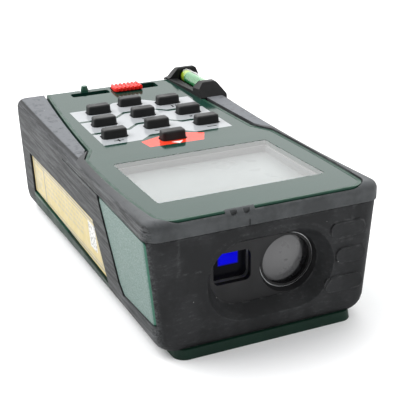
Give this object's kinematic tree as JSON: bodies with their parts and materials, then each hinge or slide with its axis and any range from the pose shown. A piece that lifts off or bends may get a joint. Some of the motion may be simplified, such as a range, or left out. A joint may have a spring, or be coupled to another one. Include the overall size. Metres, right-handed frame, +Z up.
{
  "type": "laser distance meter",
  "caption": "Hand-held laser distance meter lying on its back: grey-green keypad face, display, black rubber bumpers, red latch, spirit level and recessed optics.",
  "frame": {"origin": "centre of the footprint, on the surface the meter lies on", "axes": "+Z up out of the display, -Y the way the laser points, +X to the right when the optics face is looked at"},
  "size_m": [0.0578, 0.104, 0.036],
  "materials": {
    "shell_green": "satin moulded plastic",
    "panel_grey_green": "fine matte film",
    "rubber_black": "soft matte, scuffed",
    "rubber_grip": "worn pale grey rubber",
    "insert_green": "fine speckled texture",
    "label_yellow": "printed film",
    "window_clear": "clear polished",
    "frame_grey": "satin",
    "lcd_grey": "smooth",
    "key_black": "matte silicone",
    "latch_red": "satin",
    "pin_green": "satin",
    "steel": "bright",
    "brass": "turned",
    "vial_glass": "clear",
    "vial_fluid": "clear green liquid",
    "bezel_black": "fine matte",
    "lens_glass": "coated optical glass",
    "laser_glass": "blue-coated glass",
    "cast_aluminium": "die cast",
    "board_green": "solder mask",
    "chip_black": "moulded epoxy",
    "silicone_mat": "soft matte",
    "inner_black": "moulded",
    "cell_wrap": "foil wrap",
    "connector_pink": "elastomer strip"
  },
  "bodies": {
    "housing": {"top_shell": "shell_green", "bottom_shell": "shell_green", "face_panel": "panel_grey_green", "upper_bumper": "rubber_black", "lower_bumper": "rubber_black", "left_grip": "rubber_grip", "right_grip": "rubber_grip", "left_insert": "insert_green", "right_insert": "insert_green", "side_label": "label_yellow", "display_window": "window_clear", "display_frame": "frame_grey", "lcd_glass": "lcd_grey", "display_connector": "connector_pink", "main_board": "board_green", "board_chips": "chip_black", "key_mat": "silicone_mat", "buzzer": "inner_black", "vial_block": "rubber_black", "vial_tube": "vial_glass", "vial_liquid": "vial_fluid", "pin_axle": "steel", "optics_bezel": "bezel_black", "optics_bracket": "cast_aluminium", "receiver_lens": "lens_glass", "lens_ring": "bezel_black", "receiver_barrel": "inner_black", "receiver_filter": "laser_glass", "photodiode": "steel", "laser_window": "laser_glass", "laser_collimator": "brass", "laser_diode": "steel", "tripod_insert": "brass", "battery_contacts": "steel", "battery_springs": "steel", "battery_tray": "inner_black", "battery_1": "cell_wrap", "battery_2": "cell_wrap", "battery_3": "cell_wrap", "battery_4": "cell_wrap", "housing_screws": "steel"},
    "measure_key": {"measure_key": "key_black"},
    "key_left_1": {"key_left_1": "key_black"},
    "key_middle_1": {"key_middle_1": "key_black"},
    "key_right_1": {"key_right_1": "key_black"},
    "key_left_2": {"key_left_2": "key_black"},
    "key_middle_2": {"key_middle_2": "key_black"},
    "key_right_2": {"key_right_2": "key_black"},
    "key_left_3": {"key_left_3": "key_black"},
    "key_middle_3": {"key_middle_3": "key_black"},
    "key_right_3": {"key_right_3": "key_black"},
    "pin_latch": {"pin_latch": "latch_red"},
    "positioning_pin": {"positioning_pin": "pin_green"},
    "battery_cover": {"battery_cover": "shell_green"},
    "cover_latch": {"cover_latch": "shell_green"}
  },
  "joints": [
    {"name": "measure_key_press", "type": "slide", "parent": "housing", "child": "measure_key", "axis": [0, 0, -1], "range_m": [0, 0.0008], "stiffness_N_per_m": 900, "springref_m": -0.0003},
    {"name": "key_left_1_press", "type": "slide", "parent": "housing", "child": "key_left_1", "axis": [0, 0, -1], "range_m": [0, 0.0008], "stiffness_N_per_m": 900, "springref_m": -0.0003},
    {"name": "key_middle_1_press", "type": "slide", "parent": "housing", "child": "key_middle_1", "axis": [0, 0, -1], "range_m": [0, 0.0008], "stiffness_N_per_m": 900, "springref_m": -0.0003},
    {"name": "key_right_1_press", "type": "slide", "parent": "housing", "child": "key_right_1", "axis": [0, 0, -1], "range_m": [0, 0.0008], "stiffness_N_per_m": 900, "springref_m": -0.0003},
    {"name": "key_left_2_press", "type": "slide", "parent": "housing", "child": "key_left_2", "axis": [0, 0, -1], "range_m": [0, 0.0008], "stiffness_N_per_m": 900, "springref_m": -0.0003},
    {"name": "key_middle_2_press", "type": "slide", "parent": "housing", "child": "key_middle_2", "axis": [0, 0, -1], "range_m": [0, 0.0008], "stiffness_N_per_m": 900, "springref_m": -0.0003},
    {"name": "key_right_2_press", "type": "slide", "parent": "housing", "child": "key_right_2", "axis": [0, 0, -1], "range_m": [0, 0.0008], "stiffness_N_per_m": 900, "springref_m": -0.0003},
    {"name": "key_left_3_press", "type": "slide", "parent": "housing", "child": "key_left_3", "axis": [0, 0, -1], "range_m": [0, 0.0008], "stiffness_N_per_m": 900, "springref_m": -0.0003},
    {"name": "key_middle_3_press", "type": "slide", "parent": "housing", "child": "key_middle_3", "axis": [0, 0, -1], "range_m": [0, 0.0008], "stiffness_N_per_m": 900, "springref_m": -0.0003},
    {"name": "key_right_3_press", "type": "slide", "parent": "housing", "child": "key_right_3", "axis": [0, 0, -1], "range_m": [0, 0.0008], "stiffness_N_per_m": 900, "springref_m": -0.0003},
    {"name": "pin_latch_slide", "type": "slide", "parent": "housing", "child": "pin_latch", "axis": [1, 0, 0], "range_m": [0, 0.0045]},
    {"name": "positioning_pin_hinge", "type": "hinge", "parent": "housing", "child": "positioning_pin", "pos_m": [-0.008, 0.0507, 0.0034], "axis": [-1, 0, 0], "range_deg": [0, 90]},
    {"name": "battery_cover_lift", "type": "slide", "parent": "housing", "child": "battery_cover", "axis": [0, 0, -1], "range_m": [0, 0.012]},
    {"name": "cover_latch_slide", "type": "slide", "parent": "battery_cover", "child": "cover_latch", "axis": [0, -1, 0], "range_m": [0, 0.0012], "stiffness_N_per_m": 600, "springref_m": -0.0003}
  ]
}
